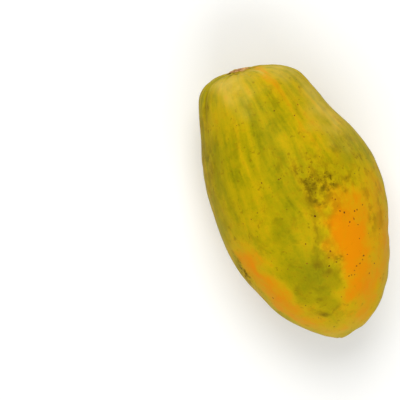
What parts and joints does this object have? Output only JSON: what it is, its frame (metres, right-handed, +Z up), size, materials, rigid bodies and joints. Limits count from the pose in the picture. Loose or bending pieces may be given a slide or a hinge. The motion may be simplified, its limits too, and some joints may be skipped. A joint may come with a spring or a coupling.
{
  "type": "papaya",
  "caption": "Whole ripe papaya lying on its side, with soft lobes, full shoulders, a corky stem scar in a shallow hollow and a blunt blossom nub.",
  "frame": {"origin": "centre of the bounding box in plan, on the surface that the fruit lies on", "axes": "+X along the fruit towards the stem scar, +Z up, +Y across the fruit"},
  "size_m": [0.1466, 0.0854, 0.0807],
  "materials": {
    "skin": "smooth yellow-green fruit skin with orange patches and a soft low sheen"
  },
  "bodies": {
    "root": {"papaya": "skin"}
  },
  "joints": []
}
